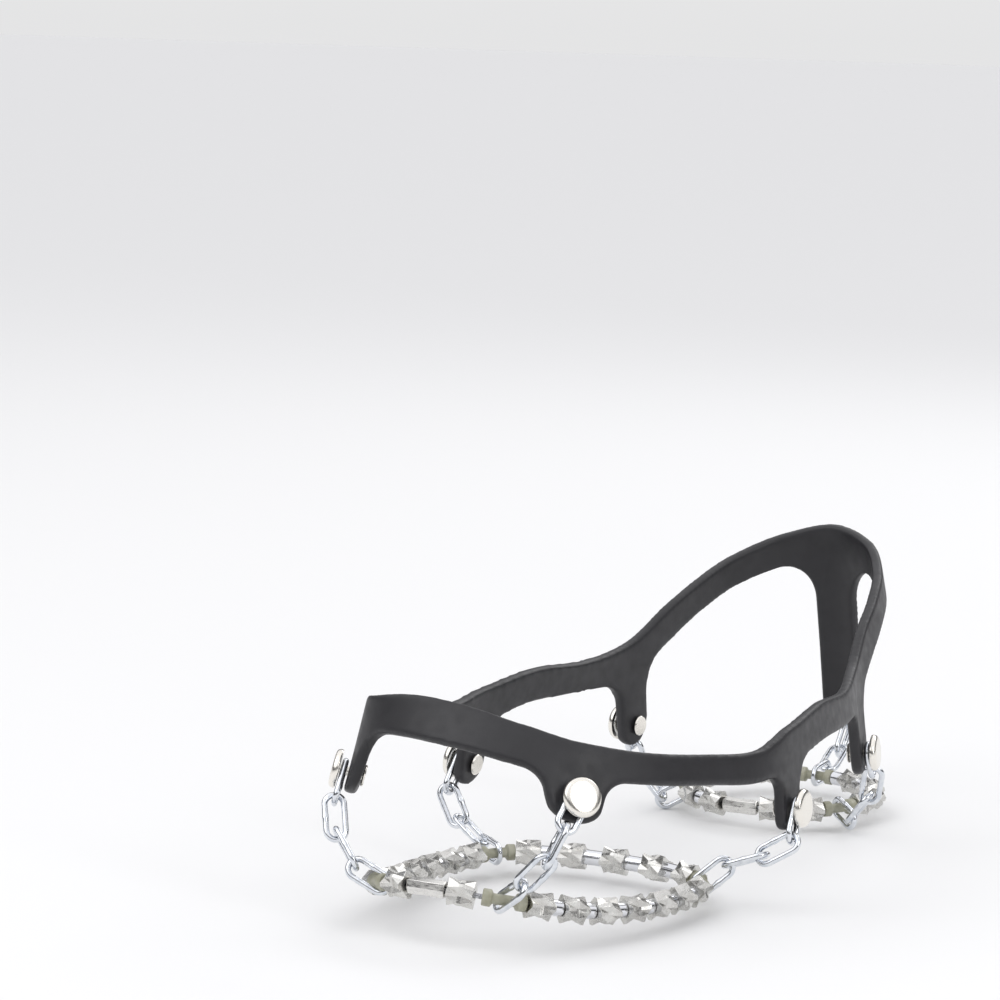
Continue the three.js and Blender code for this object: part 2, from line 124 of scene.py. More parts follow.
# Harness stations: strap centre, the shoe's flank below it at rivet height, strap half width, tab name.
STATIONS = (
    ((-40, -122, 50), (-46, -120, 31), 6.0, "toe_medial"),
    ((-22, -131, 53), (-30, -138, 32), 6.4, ""),
    ((-3, -133, 52), (-6, -148, 33), 6.4, ""),
    ((15, -129, 48), (17, -141, 32), 6.0, ""),
    ((29, -121, 44), (31, -125, 33), 5.2, "toe_lateral"),
    ((44, -102, 40), (48, -104, 27), 4.5, ""),
    ((52, -79, 37), (56, -80, 23), 4.4, ""),
    ((58, -56, 35), (61, -56, 21), 4.6, ""),
    ((59, -36, 38), (60, -37, 19.5), 6.0, "mid_lateral"),
    ((56, -5, 41), (59, -5, 22), 5.6, ""),
    ((50, 30, 40), (53, 32, 21), 5.0, ""),
    ((42, 56, 42), (43, 61, 19), 6.4, "heel_lateral"),
    ((37, 76, 52), (41, 82, 21), 6.2, ""),
    ((33, 95, 61), (38, 105, 21), 5.6, ""),
    ((27, 113, 68), (31, 128, 21), 5.4, ""),
    ((16, 129, 75), (17, 144, 22), 5.6, ""),
    ((0, 136, 78), (0, 149, 19), 6.2, "rear"),
    ((-15, 129, 75), (-16, 144, 22), 5.6, ""),
    ((-28, 113, 68), (-32, 128, 21), 5.4, ""),
    ((-33, 95, 61), (-37, 105, 21), 5.6, ""),
    ((-37, 76, 52), (-40, 82, 21), 6.2, ""),
    ((-41, 58, 42), (-41, 62, 19), 6.4, "heel_medial"),
    ((-45, 30, 40), (-48, 32, 21), 5.0, ""),
    ((-48, -3, 41), (-51, -4, 22), 5.4, ""),
    ((-50, -34, 38), (-52, -36, 20), 6.0, "mid_medial"),
    ((-49, -56, 38), (-53, -56, 22), 4.6, ""),
    ((-48, -79, 41), (-52, -79, 24), 4.4, ""),
    ((-45, -102, 46), (-50, -102, 28), 4.8, ""),
)

# The front cable's plan from the inner toe spool, and the points that carry spools.
FRONT_POINTS = (
    (-29, -134), (-8, -142), (14, -135), (31, -111), (41, -80), (39, -51),
    (24, -41), (2, -38), (-21, -41), (-34, -50), (-41, -78), (-38, -111),
)
FRONT_SPOOLS = {"toe_medial": 0, "toe_lateral": 2, "mid_lateral": 5, "mid_medial": 9}


# ---------------------------------------------------------------- shader helpers
NOISE_RANGE = (0.3, 0.7)


def new_material(name, colour, roughness, metallic=0.0, **sockets):
    """A material and its Principled shader; sockets names more inputs, with _ for a space."""
    material = bpy.data.materials.new(name)
    material.use_nodes = True
    shader = material.node_tree.nodes["Principled BSDF"]
    shader.inputs["Base Color"].default_value = (*colour, 1)
    shader.inputs["Roughness"].default_value = roughness
    shader.inputs["Metallic"].default_value = metallic
    for socket, value in sockets.items():
        shader.inputs[socket.replace("_", " ")].default_value = value
    return material, shader


def noise(material, scale, detail=4.0, stretch=None):
    """Noise in the object's own space, at scale features per metre."""
    tree = material.node_tree
    place = tree.nodes.new("ShaderNodeTexCoord")
    texture = tree.nodes.new("ShaderNodeTexNoise")
    texture.inputs["Scale"].default_value = scale
    texture.inputs["Detail"].default_value = detail
    source = place.outputs["Object"]
    if stretch:
        mapping = tree.nodes.new("ShaderNodeMapping")
        mapping.inputs["Scale"].default_value = stretch
        tree.links.new(source, mapping.inputs["Vector"])
        source = mapping.outputs["Vector"]
    tree.links.new(source, texture.inputs["Vector"])
    return texture.outputs["Fac"]


def ramp(material, source, low, high, start=0.35, end=0.65):
    """A colour ramp from low to high, both (r, g, b)."""
    tree = material.node_tree
    node = tree.nodes.new("ShaderNodeValToRGB")
    first, last = node.color_ramp.elements
    first.position, last.position = start, end
    first.color, last.color = (*low, 1), (*high, 1)
    tree.links.new(source, node.inputs["Fac"])
    return node.outputs["Color"]


def spread(material, source, low, high):
    """Noise spread over low to high. Almost all of it lies within NOISE_RANGE."""
    tree = material.node_tree
    node = tree.nodes.new("ShaderNodeMapRange")
    node.inputs["From Min"].default_value = NOISE_RANGE[0]
    node.inputs["From Max"].default_value = NOISE_RANGE[1]
    node.inputs["To Min"].default_value = low
    node.inputs["To Max"].default_value = high
    tree.links.new(source, node.inputs["Value"])
    return node.outputs["Result"]


def bump(material, shader, source, height):
    """Bump of a real height in metres."""
    tree = material.node_tree
    node = tree.nodes.new("ShaderNodeBump")
    node.inputs["Distance"].default_value = height
    tree.links.new(source, node.inputs["Height"])
    tree.links.new(node.outputs["Normal"], shader.inputs["Normal"])


# ---------------------------------------------------------------- materials
def rubber_material():
    """Moulded black rubber: satin, with a fine grain."""
    material, shader = new_material("rubber", (0.018, 0.017, 0.02), 0.46, Specular_IOR_Level=0.5)
    link = material.node_tree.links.new
    broad = noise(material, 90, 3.0)
    link(ramp(material, broad, (0.0135, 0.013, 0.0155), (0.017, 0.0165, 0.0195)), shader.inputs["Base Color"])
    link(spread(material, noise(material, 260, 5.0), 0.4, 0.52), shader.inputs["Roughness"])
    bump(material, shader, noise(material, 3000, 2.0), 0.00003)
    return material


def cast_steel_material():
    """Cast steel, light silver, with a grainy and slightly patchy skin."""
    material, shader = new_material("cast_steel", (0.7, 0.69, 0.66), 0.34, 1.0)
    link = material.node_tree.links.new
    patches = noise(material, 300, 4.0)
    link(ramp(material, patches, (0.6, 0.59, 0.565), (0.7, 0.695, 0.67)), shader.inputs["Base Color"])
    link(spread(material, noise(material, 700, 4.0), 0.2, 0.34), shader.inputs["Roughness"])
    bump(material, shader, noise(material, 3000, 2.0), 0.00002)
    return material


def polished_steel_material():
    """Mirror-bright tube with the faintest waviness."""
    material, shader = new_material("polished_steel", (0.78, 0.79, 0.82), 0.08, 1.0)
    link = material.node_tree.links.new
    link(spread(material, noise(material, 500, 3.0), 0.05, 0.16), shader.inputs["Roughness"])
    bump(material, shader, noise(material, 900, 2.0), 0.000008)
    return material


def zinc_material():
    """Bright zinc plating on chain wire, a little cloudy."""
    material, shader = new_material("zinc_wire", (0.72, 0.75, 0.79), 0.16, 1.0)
    link = material.node_tree.links.new
    cloud = noise(material, 500, 4.0)
    link(ramp(material, cloud, (0.66, 0.69, 0.74), (0.8, 0.82, 0.85)), shader.inputs["Base Color"])
    link(spread(material, noise(material, 800, 3.0), 0.08, 0.2), shader.inputs["Roughness"])
    bump(material, shader, noise(material, 1200, 3.0), 0.00002)
    return material


def nickel_material():
    """Polished warm nickel of the rivet caps, with hairline rub marks."""
    material, shader = new_material("nickel", (0.86, 0.83, 0.77), 0.2, 1.0)
    link = material.node_tree.links.new
    hairline = noise(material, 700, 4.0, stretch=(1, 12, 1))
    link(spread(material, hairline, 0.16, 0.28), shader.inputs["Roughness"])
    bump(material, shader, hairline, 0.000004)
    return material


def plastic_material():
    """Khaki grey spools in satin nylon."""
    material, shader = new_material("nylon", (0.36, 0.355, 0.27), 0.42, Subsurface_Weight=0.08)
    shader.inputs["Subsurface Radius"].default_value = (0.0012, 0.001, 0.0006)
    link = material.node_tree.links.new
    tone = noise(material, 300, 4.0)
    link(ramp(material, tone, (0.31, 0.305, 0.225), (0.42, 0.415, 0.33)), shader.inputs["Base Color"])
    bump(material, shader, noise(material, 2400, 2.0), 0.00002)
    return material


def cable_material():
    """Stranded steel, speckled dark and light by its fine wires."""
    material, shader = new_material("strand_steel", (0.42, 0.43, 0.45), 0.3, 1.0)
    link = material.node_tree.links.new
    wires = noise(material, 2200, 2.0)
    link(ramp(material, wires, (0.2, 0.2, 0.21), (0.6, 0.61, 0.63)), shader.inputs["Base Color"])
    bump(material, shader, wires, 0.00005)
    return material


def ferrule_material():
    """Pressed steel sleeve with brushed flats."""
    material, shader = new_material("pressed_steel", (0.74, 0.73, 0.7), 0.3, 1.0)
    link = material.node_tree.links.new
    marks = noise(material, 420, 5.0, stretch=(1, 1, 5))
    link(ramp(material, marks, (0.69, 0.68, 0.66), (0.79, 0.78, 0.75)), shader.inputs["Base Color"])
    link(spread(material, marks, 0.2, 0.4), shader.inputs["Roughness"])
    bump(material, shader, marks, 0.000015)
    return material


MATERIALS = {
    "rubber": rubber_material(),
    "bead": cast_steel_material(),
    "spacer": polished_steel_material(),
    "link": zinc_material(),
    "rivet": nickel_material(),
    "spool": plastic_material(),
    "cable": cable_material(),
    "ferrule": ferrule_material(),
}


# ---------------------------------------------------------------- mesh helpers
def polar_row(centre, side, up, ring):
    """Points round centre for the (angle, radius) pairs of ring."""
    row = []
    for angle, radius in ring:
        row.append(centre + side * (radius * math.cos(angle)) + up * (radius * math.sin(angle)))
    return row


def round_ring(radius, sides):
    """The (angle, radius) pairs of a circle."""
    return [(2 * math.pi * k / sides, radius) for k in range(sides)]


def ring_faces(rows, count, offset):
    """Quads that join rows of count points, where the last row joins the first."""
    faces = []
    for i in range(rows):
        a = offset + i * count
        b = offset + ((i + 1) % rows) * count
        for k in range(count):
            n = (k + 1) % count
            faces.append((a + k, a + n, b + n, b + k))
    return faces


def solid_faces(rows, count, offset, capped):
    """A solid's faces: a closed ring of rows, or a row of rows with a flat cap on each end."""
    faces = ring_faces(rows, count, offset)
    if not capped:
        return faces
    last = (rows - 1) * count
    first_cap = tuple(offset + k for k in range(count))
    last_cap = tuple(offset + last + k for k in reversed(range(count)))
    return faces[:last] + [first_cap, last_cap]


def mesh_object(name, solids, slot, body, node, smooth_angle=30, bevel=0.0, faceted=False, capped=False):
    """One object from solids [[row, row, ...], ...] given in millimetres."""
    points, faces = [], []
    for rows in solids:
        faces += solid_faces(len(rows), len(rows[0]), len(points), capped)
        points += [point * MM for row in rows for point in row]
    mesh = bpy.data.meshes.new(name)
    mesh.from_pydata(points, [], faces)
    mesh.materials.append(MATERIALS[slot])
    piece = bpy.data.objects.new(name, mesh)
    bpy.context.scene.collection.objects.link(piece)
    face_out(piece)
    if bevel:
        bevel_edges(piece, bevel, smooth_angle, faceted)
    if faceted:
        mesh.shade_flat()
    else:
        mesh.shade_smooth()
        mesh.set_sharp_from_angle(angle=math.radians(smooth_angle))
    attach(piece, body)
    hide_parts(node)
    return piece


def bevel_edges(piece, width, least_angle, faceted):
    """Bevels the edges that are sharper than least_angle."""
    edge = piece.modifiers.new("edges", "BEVEL")
    edge.width = width * MM
    edge.segments = 2
    edge.limit_method = "ANGLE"
    edge.angle_limit = math.radians(least_angle)
    edge.harden_normals = not faceted


def face_out(piece):
    """Turns the faces outward."""
    bpy.ops.object.select_all(action="DESELECT")
    bpy.context.view_layer.objects.active = piece
    piece.select_set(True)
    bpy.ops.object.mode_set(mode="EDIT")
    bpy.ops.mesh.select_all(action="SELECT")
    bpy.ops.mesh.normals_make_consistent(inside=False)
    bpy.ops.object.mode_set(mode="OBJECT")
    piece.select_set(False)


def across(vector, axis):
    """The part of vector across axis, at length 1."""
    return (vector - axis * vector.dot(axis)).normalized()


def blend(low, high, share):
    """From low to high, eased over share 0 to 1."""
    share = min(1, max(0, share))
    return low + (high - low) * share * share * (3 - 2 * share)


# ---------------------------------------------------------------- splines and loops
def spline_point(points, place):
    """A closed centripetal Catmull-Rom curve; place counts points."""
    count = len(points)
    first = math.floor(place)
    share = place - first
    p = [points[(first + k) % count] for k in (-1, 0, 1, 2)]
    gaps = [(p[k + 1] - p[k]).length ** 0.5 for k in range(3)]
    leave = (p[1] - p[0]) / gaps[0] - (p[2] - p[0]) / (gaps[0] + gaps[1]) + (p[2] - p[1]) / gaps[1]
    reach = (p[2] - p[1]) / gaps[1] - (p[3] - p[1]) / (gaps[1] + gaps[2]) + (p[3] - p[2]) / gaps[2]
    leave, reach = leave * gaps[1], reach * gaps[1]
    square = 3 * (p[2] - p[1]) - 2 * leave - reach
    cube = 2 * (p[1] - p[2]) + leave + reach
    return p[1] + leave * share + square * share**2 + cube * share**3


class Loop:
    """A closed spline measured by length."""

    STEPS = 60

    def __init__(self, points):
        self.points = points
        count = len(points) * self.STEPS
        self.line = [spline_point(points, k / self.STEPS) for k in range(count + 1)]
        self.lengths = [0.0]
        for before, after in zip(self.line, self.line[1:]):
            self.lengths.append(self.lengths[-1] + (after - before).length)
        self.total = self.lengths[-1]

    def at_point(self, index):
        """Distance to a given point."""
        return self.lengths[index * self.STEPS]

    def place(self, distance):
        """The spline's own measure at a distance, counting points."""
        distance %= self.total
        index = int(numpy.searchsorted(self.lengths, distance, side="right")) - 1
        index = min(index, len(self.lengths) - 2)
        share = (distance - self.lengths[index]) / (self.lengths[index + 1] - self.lengths[index])
        return (index + share) / self.STEPS

    def tangent(self, place):
        """Direction of travel at a place on the spline."""
        step = 0.01
        ahead = spline_point(self.points, place + step)
        return (ahead - spline_point(self.points, place - step)).normalized()

    def plane(self, distance):
        """Point, tangent, sideways and up at a distance along the cable."""
        place = self.place(distance)
        along = self.tangent(place)
        side = UP.cross(along).normalized()
        return spline_point(self.points, place), along, side, along.cross(side)


def toe_lift(y):
    """How far the front loop lifts toward the toe."""
    reach = max(0, TOE_SPRING["from"] - y) / TOE_SPRING["over"]
    return TOE_SPRING["rise"] * reach * reach


def heel_points():
    """The round heel loop, from the outer spool."""
    points = []
    steps = HEEL_LOOP["points"]
    for k in range(steps):
        angle = math.radians(-90 + HEEL_LOOP["spool_angle"]) + 2 * math.pi * k / steps
        radius = HEEL_LOOP["radius"]
        points.append(Vector((radius * math.cos(angle), HEEL_LOOP["y"] + radius * math.sin(angle), LOOP_Z)))
    return points


front = Loop([Vector((x, y, LOOP_Z + toe_lift(y))) for x, y in FRONT_POINTS])
heel = Loop(heel_points())


# ---------------------------------------------------------------- pieces on the cables
def straight(loop, middle, turn=0.0):
    """Planes of a straight piece centred at middle on the cable, turned about it."""
    centre, along, side, up = loop.plane(middle)
    turned = Matrix.Rotation(turn, 3, along)
    side, up = turned @ side, turned @ up
    return lambda offset: (centre + along * offset, along, side, up)


def curved(loop, middle):
    """Planes of a piece that bends with the cable."""
    return lambda offset: loop.plane(middle + offset)


def sleeve(plane_at, stations, bore):
    """Rows of a bored piece; stations are (offset, ring), and every ring has the same angles."""

    def row(offset, ring):
        centre, _, side, up = plane_at(offset)
        return polar_row(centre, side, up, ring)

    rows = [row(offset, ring) for offset, ring in stations]
    angles = [angle for angle, _ in stations[0][1]]
    start, end = stations[0][0], stations[-1][0]
    inner = [(end, bore + LIP), (end - LIP, bore), (start + LIP, bore), (start, bore + LIP)]
    rows += [row(offset, [(angle, radius) for angle in angles]) for offset, radius in inner]
    return rows


def both_ways(half_profile):
    """A profile of (offset, size) from the middle out, with its mirror image before it."""
    return [(-offset, size) for offset, size in half_profile[:0:-1]] + list(half_profile)


def star_ring(even, odd):
    """Flat-topped ribs round a bead, with even ones of one radius and odd ones of another."""
    ring = []
    for k in range(BEAD["ribs"]):
        radius = odd if k % 2 else even
        for side in (-1, 1):
            ring.append((2 * math.pi * k / BEAD["ribs"] + side * BEAD["flat"], radius))
    return ring


def bead_rows(loop, middle, turn):
    """A star bead: four ribs flare to tips at both ends, four peak in the middle."""
    half, notch = BEAD["length"] / 2, BEAD["notch"]
    end_ring = star_ring(BEAD["tip"], BEAD["valley"])
    middle_ring = star_ring(BEAD["valley"], BEAD["peak"])
    stations = [(-half, end_ring), (-notch, middle_ring), (notch, middle_ring), (half, end_ring)]
    return sleeve(straight(loop, middle, turn), stations, BEAD["bore"])


def star_object(name, beads, body, node):
    """Star beads as one piece with flat facets and thin worn edges."""
    mesh_object(name, beads, "bead", body, node, bevel=BEAD["edge"], smooth_angle=20, faceted=True)


def spacer_rows(loop, middle, length):
    """A polished tube with chamfered ends."""
    radius, chamfer = SPACER["radius"], SPACER["chamfer"]
    half = length / 2 - SPACER["play"]
    end_ring = round_ring(radius - chamfer, SPACER["sides"])
    full_ring = round_ring(radius, SPACER["sides"])
    stations = [(-half, end_ring), (chamfer - half, full_ring), (half - chamfer, full_ring), (half, end_ring)]
    return sleeve(straight(loop, middle), stations, SPACER["bore"])


turns = random.Random(7)


def bead_turn():
    """How far the next bead has rolled on its cable."""
    return turns.uniform(-BEAD["turn"], BEAD["turn"])


def bead_run(node, loop, start_spool, end_spool, count, leads=False, trails=False):
    """The beads and spacers between two spools, as one piece of beads and one of spacers."""
    start = start_spool + SPOOL["length"] / 2 + GAP
    end = end_spool - SPOOL["length"] / 2 - GAP
    spacers = count - 1 + leads + trails
    spacer = (end - start - count * BEAD["length"]) / spacers
    beads, tubes = [], []
    place = start
    for k in range(count):
        if k or leads:
            tubes.append(spacer_rows(loop, place + spacer / 2, spacer))
            place += spacer
        beads.append(bead_rows(loop, place + BEAD["length"] / 2, bead_turn()))
        place += BEAD["length"]
    if trails:
        tubes.append(spacer_rows(loop, place + spacer / 2, spacer))
    star_object(f"{node}_stars", beads, "cleat", node)
    mesh_object(f"{node}_spacers", tubes, "spacer", "cleat", node)


def spool_piece(site, loop, middle):
    """A waisted nylon spool that holds the chain's last link on the cable."""
    half, end, waist = SPOOL["length"] / 2, SPOOL["end"], SPOOL["waist"]
    flat, cone, ease, corner = SPOOL["flat"], SPOOL["cone"], SPOOL["ease"], SPOOL["round"]
    inward, down = SPOOL["round_in"], SPOOL["round_down"]
    profile = both_ways((
        (0, waist), (flat - ease, waist), (flat + inward, waist + down),
        (cone - ease, end - ease), (cone, end),
        (half - corner, end), (half - inward, end - down), (half, end - corner),
    ))
    stations = [(offset, round_ring(radius, SPOOL["sides"])) for offset, radius in profile]
    rows = sleeve(curved(loop, middle), stations, SPOOL["bore"])
    mesh_object(f"spool_{site}_body", [rows], "spool", "cleat", f"spool_{site}")


def ferrule_piece(node, loop, middle):
    """A pressed sleeve that closes the cable: flats from the press, and a waist at its middle."""
    half, radius = FERRULE["length"] / 2, FERRULE["radius"]
    flats = round_ring(radius, FERRULE["flats"])
    flats[::2] = [(angle, r * FERRULE["flat_share"]) for angle, r in flats[::2]]
    # offset from the middle, and the share of the full section there
    profile = both_ways((
        (0, 0.94), (FERRULE["bite"], 0.97), (half - 1.2, 1.0), (half - 0.5, 0.97), (half, 0.84),
    ))
    stations = [(offset, [(angle, size * r) for angle, r in flats]) for offset, size in profile]
    rows = sleeve(curved(loop, middle), stations, FERRULE["bore"])
    mesh_object(f"{node}_body", [rows], "ferrule", "cleat", node, bevel=FERRULE["edge"], smooth_angle=25)


def strand_ring(twist):
    """The cable's section: one lobe for each strand, turned by twist."""
    ring = []
    for angle, radius in round_ring(CABLE["radius"], CABLE["sides"]):
        lobe = abs(math.cos(CABLE["strands"] / 2 * (angle - twist)))
        ring.append((angle, radius - CABLE["groove"] * (1 - lobe)))
    return ring


def cable_piece(node, loop):
    """Twisted strands: the section turns once in each lay length."""
    steps = int(loop.total / CABLE["step"])
    turns_round = round(loop.total / CABLE["lay"])
    rows = []
    for k in range(steps):
        centre, _, side, up = loop.plane(loop.total * k / steps)
        rows.append(polar_row(centre, side, up, strand_ring(2 * math.pi * turns_round * k / steps)))
    mesh_object(f"{node}_strands", [rows], "cable", "cleat", node, smooth_angle=60)


def front_loop():
    """Everything on the front cable, in order from the inner toe spool."""
    cable_piece("front_cable", front)
    spools = {site: front.at_point(index) for site, index in FRONT_SPOOLS.items()}
    for site, distance in spools.items():
        spool_piece(site, front, distance)
    ferrule_at = spools["toe_lateral"] / 2
    ferrule_piece("front_ferrule", front, ferrule_at)
    apart = FERRULE["length"] / 2 + TURN_GAP + BEAD["length"] / 2
    for side, middle in (("medial", ferrule_at - apart), ("lateral", ferrule_at + apart)):
        node = f"toe_bead_{side}"
        star_object(f"{node}_star", [bead_rows(front, middle, 0)], node, node)
    bead_run("beads_front_lateral", front, spools["toe_lateral"], spools["mid_lateral"], 7)
    bead_run("beads_front_rear", front, spools["mid_lateral"], spools["mid_medial"], 5)
    bead_run("beads_front_medial", front, spools["mid_medial"], front.total, 7)


def heel_loop():
    """Everything on the heel cable, in order from the outer spool."""
    cable_piece("heel_cable", heel)
    side_arc = heel.total * (180 - HEEL_LOOP["spool_angle"]) / 360
    for site, distance in (("heel_lateral", 0), ("rear", side_arc), ("heel_medial", 2 * side_arc)):
        spool_piece(site, heel, distance)
    bead_run("beads_heel_lateral", heel, 0, side_arc, 4, trails=True)
    bead_run("beads_heel_medial", heel, side_arc, 2 * side_arc, 4, leads=True)
    start = 2 * side_arc + SPOOL["length"] / 2 + TURN_GAP
    end = heel.total - SPOOL["length"] / 2 - TURN_GAP
    middle = (start + end) / 2
    ferrule_piece("heel_ferrule", heel, middle)
    half = middle - FERRULE["length"] / 2 - start
    turning_run("medial", start, half)
    turning_run("lateral", middle + FERRULE["length"] / 2 + TURN_GAP, half)


def turning_run(side, start, length):
    """Bead, tube and bead that turn freely beside the heel ferrule."""
    bead = BEAD["length"]
    spacer = length - 2 * bead - 3 * TURN_GAP
    second = start + bead + TURN_GAP
    third = second + spacer + TURN_GAP
    for number, place in ((1, start), (2, third)):
        node = f"heel_bead_{side}_{number}"
        star_object(f"{node}_star", [bead_rows(heel, place + bead / 2, 0)], node, node)
    node = f"heel_spacer_{side}"
    mesh_object(f"{node}_tube", [spacer_rows(heel, second + spacer / 2, spacer)], "spacer", node, node)


# ---------------------------------------------------------------- chains and rivets
def link_frame(node):
    """Centre and axes of a link: long, short and across, from its CAD solid."""
    corners = numpy.array([vertex.co[:] for vertex in NODES[node].data.vertices])
    covariance = numpy.cov((corners - corners.mean(axis=0)).T)
    _, axes = numpy.linalg.eigh(covariance)
    along, side = Vector(axes[:, 2]), Vector(axes[:, 1])
    normal = along.cross(side)
    centre = Vector()
    for axis in (along, side, normal):
        reach = corners @ numpy.array(axis)
        centre += axis * float(reach.min() + reach.max()) / 2
    return centre / MM, along, side, normal


def link_path():
    """The wire's centre line: x along, y across, the bend's angle, and which end it belongs to."""
    bend, half_run = LINK["bend"], LINK["half"] - LINK["bend"]
    path = []
    for end in (1, -1):
        for k in range(LINK["turn_steps"] + 1):
            angle = math.pi * (k / LINK["turn_steps"] - 0.5)
            x = end * (half_run + bend * math.cos(angle))
            path.append((x, end * bend * math.sin(angle), angle, end))
        for k in range(1, LINK["run_steps"]):
            x = end * half_run * (1 - 2 * k / LINK["run_steps"])
            path.append((x, end * bend, math.pi / 2, end))
    return path


def link_rows(node):
    """Round wire bent to a stadium, with the lump of its butt weld half way along one side."""
    centre, along, side, normal = link_frame(node)
    welded_side = LINK["bend"] * 0.99
    rows = []
    for x, y, angle, end in link_path():
        outward = along * (end * math.cos(angle)) + side * (end * math.sin(angle))
        weld = math.exp(-((x / LINK["weld_length"]) ** 2)) if y > welded_side else 0
        wire = round_ring(LINK["wire"] * (1 + LINK["weld"] * weld), LINK["sides"])
        rows.append(polar_row(centre + along * x + side * y, outward, normal, wire))
    return rows


def rivet_profile(seat):
    """(radius, height) from the back head to the crown of the cap, with height 0 at mid rubber."""
    back, thick, edge = RIVET["back"], RIVET["back_thick"], RIVET["back_edge"]
    cap, rim, dome = RIVET["cap"], RIVET["rim"], RIVET["dome"]
    top = -RUBBER["thick"] / 2 - RIVET["back_gap"]
    under = seat + SEAT_WIRE + GAP
    profile = [
        (AXIS_GAP, top - thick), (back - edge, top - thick), (back, top - thick / 2), (back - edge, top),
        (RIVET["post"], top), (RIVET["post"], under),
        (cap - 0.5, under), (cap - 0.12, under + 0.12), (cap, under + 0.4), (cap, under + rim),
    ]
    for k in range(1, RIVET["crown_rows"] + 1):
        share = k / RIVET["crown_rows"]
        height = math.sqrt(1 - (1 - share) ** RIVET["flatness"])
        profile.append((max(AXIS_GAP, cap * (1 - share)), under + rim + (dome - rim) * height))
    return profile


def rivet_rows(site):
    """A domed cap with a rolled rim, its post and the washer-like head behind the rubber."""
    joint = JOINTS[f"link_{site}_4_swing"]
    outward = Vector(joint["axis"]).normalized()
    seat = RUBBER["thick"] / 2 + SEAT_GAP + SEAT_WIRE
    centre = Vector(joint["pos_m"]) / MM - outward * seat
    side = outward.orthogonal().normalized()
    up = outward.cross(side)
    rows = []
    for radius, height in rivet_profile(seat):
        rows.append(polar_row(centre + outward * height, side, up, round_ring(radius, RIVET["sides"])))
    return rows


def chains():
    """A rivet and four links at each of the seven tabs."""
    for site in SITES:
        rivet = f"rivet_{site}"
        mesh_object(f"{rivet}_cap", [rivet_rows(site)], "rivet", "cleat", rivet, smooth_angle=35, capped=True)
        for number in (1, 2, 3, 4):
            node = f"link_{site}_{number}"
            mesh_object(f"{node}_wire", [link_rows(node)], "link", node, node, smooth_angle=60)


# ---------------------------------------------------------------- rubber harness
strap = Loop([Vector(station[0]) for station in STATIONS])
flank = Loop([Vector(station[1]) for station in STATIONS])


def strap_frame(distance):
    """Centre, way down the flank, drop to rivet height, both outward directions and half width."""
    place = strap.place(distance)
    centre = spline_point(strap.points, place)
    drop = spline_point(flank.points, place) - centre
    down = drop.normalized()
    strap_out = down.cross(across(strap.tangent(place), down))
    flank_out = down.cross(across(flank.tangent(place), down))
    before = STATIONS[math.floor(place) % len(STATIONS)][2]
    after = STATIONS[math.ceil(place) % len(STATIONS)][2]
    return centre, down, drop.length, strap_out, flank_out, blend(before, after, place % 1)


def tabs():
    """Place, drop to the rivet and fillet radius of each tab."""
    found = []
    for index, station in enumerate(STATIONS):
        if station[3]:
            distance = strap.at_point(index)
            fillet = RUBBER["rear_fillet"] if station[3] == "rear" else RUBBER["fillet"]
            found.append((distance, strap_frame(distance)[2], fillet))
    return found


TABS = tabs()


def lower_edge(distance, half):
    """How far the rubber hangs below the strap's centre."""
    edge = half
    for tab, drop, fillet in TABS:
        apart = abs(distance - tab) % strap.total
        apart = min(apart, strap.total - apart)
        if apart <= RUBBER["tab_half"]:
            return drop + RUBBER["tab_foot"] * math.sqrt(1 - (apart / RUBBER["tab_half"]) ** 2)
        if apart < RUBBER["tab_half"] + fillet:
            inward = RUBBER["tab_half"] + fillet - apart
            edge = max(edge, half + fillet - math.sqrt(fillet**2 - inward**2))
    return edge


def harness_places():
    """Distances of the rubber's rows: even steps, and both sides of each tab's upright edges."""
    count = int(strap.total / SKIN["step"])
    places = {strap.total * k / count for k in range(count)}
    for tab, _, _ in TABS:
        for side in (-1, 1):
            places.add((tab + side * RUBBER["tab_half"]) % strap.total)
            places.add((tab + side * (RUBBER["tab_half"] + SKIN["corner"])) % strap.total)
    return sorted(places)


def harness_row(distance):
    """The rubber's section, down its outer face and up its inner one."""
    centre, down, drop, strap_out, flank_out, half = strap_frame(distance)
    swell, thick = SKIN["swell"], RUBBER["thick"] / 2 + SKIN["extra"]
    low = lower_edge(distance, half)
    outer, inner = [], []
    for k in range(SKIN["depth_steps"] + 1):
        depth = -half - swell + (low + half + 2 * swell) * k / SKIN["depth_steps"]
        turn = min(1, max(0, depth / drop))
        out = strap_out.lerp(flank_out, turn).normalized()
        outer.append(centre + down * depth + out * thick)
        inner.append(centre + down * depth - out * thick)
    return outer + inner[::-1]


def harness():
    """The rubber ring, with its edges softened like a moulding's."""
    rows = [harness_row(distance) for distance in harness_places()]
    piece = mesh_object("harness_rubber", [rows], "rubber", "cleat", "harness", smooth_angle=180)
    skin = piece.modifiers.new("skin", "REMESH")
    skin.mode = "VOXEL"
    skin.voxel_size = SKIN["voxel"] * MM
    skin.use_smooth_shade = True
    soften = piece.modifiers.new("soften", "SMOOTH")
    soften.factor = 0.5
    soften.iterations = SKIN["rounds"]
    bpy.context.view_layer.objects.active = piece
    piece.select_set(True)
    for modifier in ("skin", "soften"):
        bpy.ops.object.modifier_apply(modifier=modifier)
    piece.select_set(False)
    piece.data.shade_smooth()


# ---------------------------------------------------------------- studio
def floor():
    """A plain pale floor just below the lowest piece."""
    low = cad_box[0][2]
    bpy.ops.mesh.primitive_plane_add(size=FLOOR["size"], location=(0, 0, low - FLOOR["gap"]))
    ground = bpy.context.object
    ground.name = "floor"
    material, _ = new_material("pale_floor", (0.86, 0.86, 0.86), 0.7, Specular_IOR_Level=0.2)
    ground.data.materials.append(material)


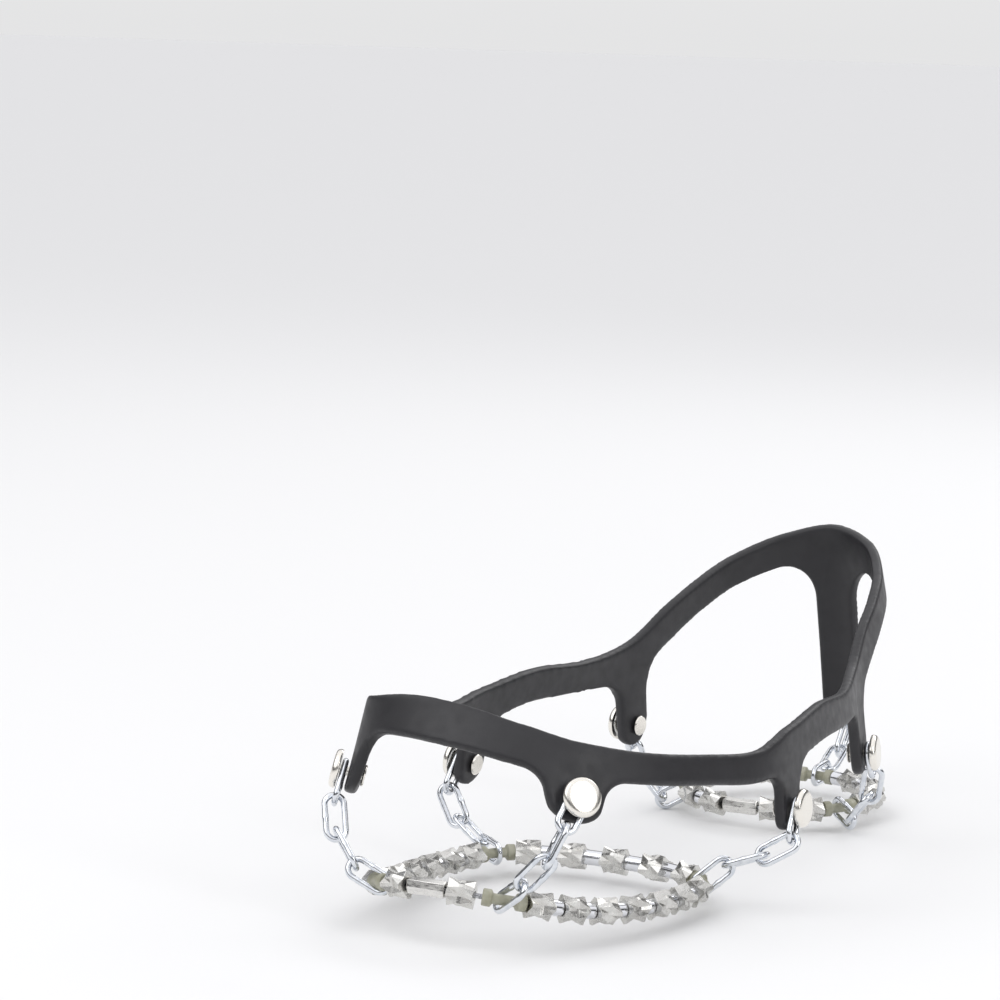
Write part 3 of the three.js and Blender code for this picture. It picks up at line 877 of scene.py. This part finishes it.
def area_light(name, place, size, power):
    """A soft rectangular lamp aimed at the cleat."""
    lamp = bpy.data.lights.new(name, "AREA")
    lamp.shape = "RECTANGLE"
    lamp.size, lamp.size_y = size
    lamp.energy = power
    light = bpy.data.objects.new(name, lamp)
    light.location = place
    light.rotation_euler = (Vector(LIGHTS_AIM) - Vector(place)).to_track_quat("-Z", "Y").to_euler()
    bpy.context.scene.collection.objects.link(light)


def world():
    """The camera sees a pale haze; light and reflections get a bright sky above a dark band."""
    scene_world = bpy.data.worlds.new("studio")
    bpy.context.scene.world = scene_world
    scene_world.use_nodes = True
    tree = scene_world.node_tree
    place = tree.nodes.new("ShaderNodeTexCoord")
    split = tree.nodes.new("ShaderNodeSeparateXYZ")
    tree.links.new(place.outputs["Generated"], split.inputs["Vector"])

    sky = tree.nodes["Background"]
    bands = tree.nodes.new("ShaderNodeValToRGB")
    for height, _ in SKY_BANDS[2:]:
        bands.color_ramp.elements.new(height)
    for element, (height, grey) in zip(bands.color_ramp.elements, SKY_BANDS):
        element.position = height
        element.color = (grey, grey, grey * 1.02, 1)
    tree.links.new(split.outputs["Z"], bands.inputs["Fac"])
    tree.links.new(bands.outputs["Color"], sky.inputs["Color"])
    sky.inputs["Strength"].default_value = SKY_STRENGTH

    pale = tree.nodes.new("ShaderNodeBackground")
    haze = tree.nodes.new("ShaderNodeValToRGB")
    for element, (height, colour) in zip(haze.color_ramp.elements, HAZE):
        element.color = (*colour, 1)
        element.position = height
    tree.links.new(split.outputs["Z"], haze.inputs["Fac"])
    tree.links.new(haze.outputs["Color"], pale.inputs["Color"])

    path = tree.nodes.new("ShaderNodeLightPath")
    mix = tree.nodes.new("ShaderNodeMixShader")
    tree.links.new(path.outputs["Is Camera Ray"], mix.inputs["Fac"])
    tree.links.new(sky.outputs["Background"], mix.inputs[1])
    tree.links.new(pale.outputs["Background"], mix.inputs[2])
    tree.links.new(mix.outputs["Shader"], tree.nodes["World Output"].inputs["Surface"])


def camera():
    """Seen from the toe's outer side, a little above the sole."""
    azimuth, elevation, roll = (math.radians(VIEW[key]) for key in ("azimuth", "elevation", "roll"))
    level = math.cos(elevation)
    back = Vector((math.sin(azimuth) * level, -math.cos(azimuth) * level, math.sin(elevation)))
    right = UP.cross(back).normalized()
    up = back.cross(right)
    side = right * math.cos(roll) + up * math.sin(roll)
    top = up * math.cos(roll) - right * math.sin(roll)
    lens = bpy.data.cameras.new("camera")
    lens.sensor_width = 36
    lens.lens = VIEW["lens"]
    lens.clip_end = 100
    view = bpy.data.objects.new("camera", lens)
    turn = Matrix((side, top, back)).transposed().to_4x4()
    view.matrix_world = Matrix.Translation(Vector(VIEW["place"])) @ turn
    bpy.context.scene.collection.objects.link(view)
    bpy.context.scene.camera = view


front_loop()
heel_loop()
chains()
harness()
floor()
world()
for light in LIGHTS:
    area_light(*light)
camera()
bpy.context.scene.view_settings.view_transform = "Standard"
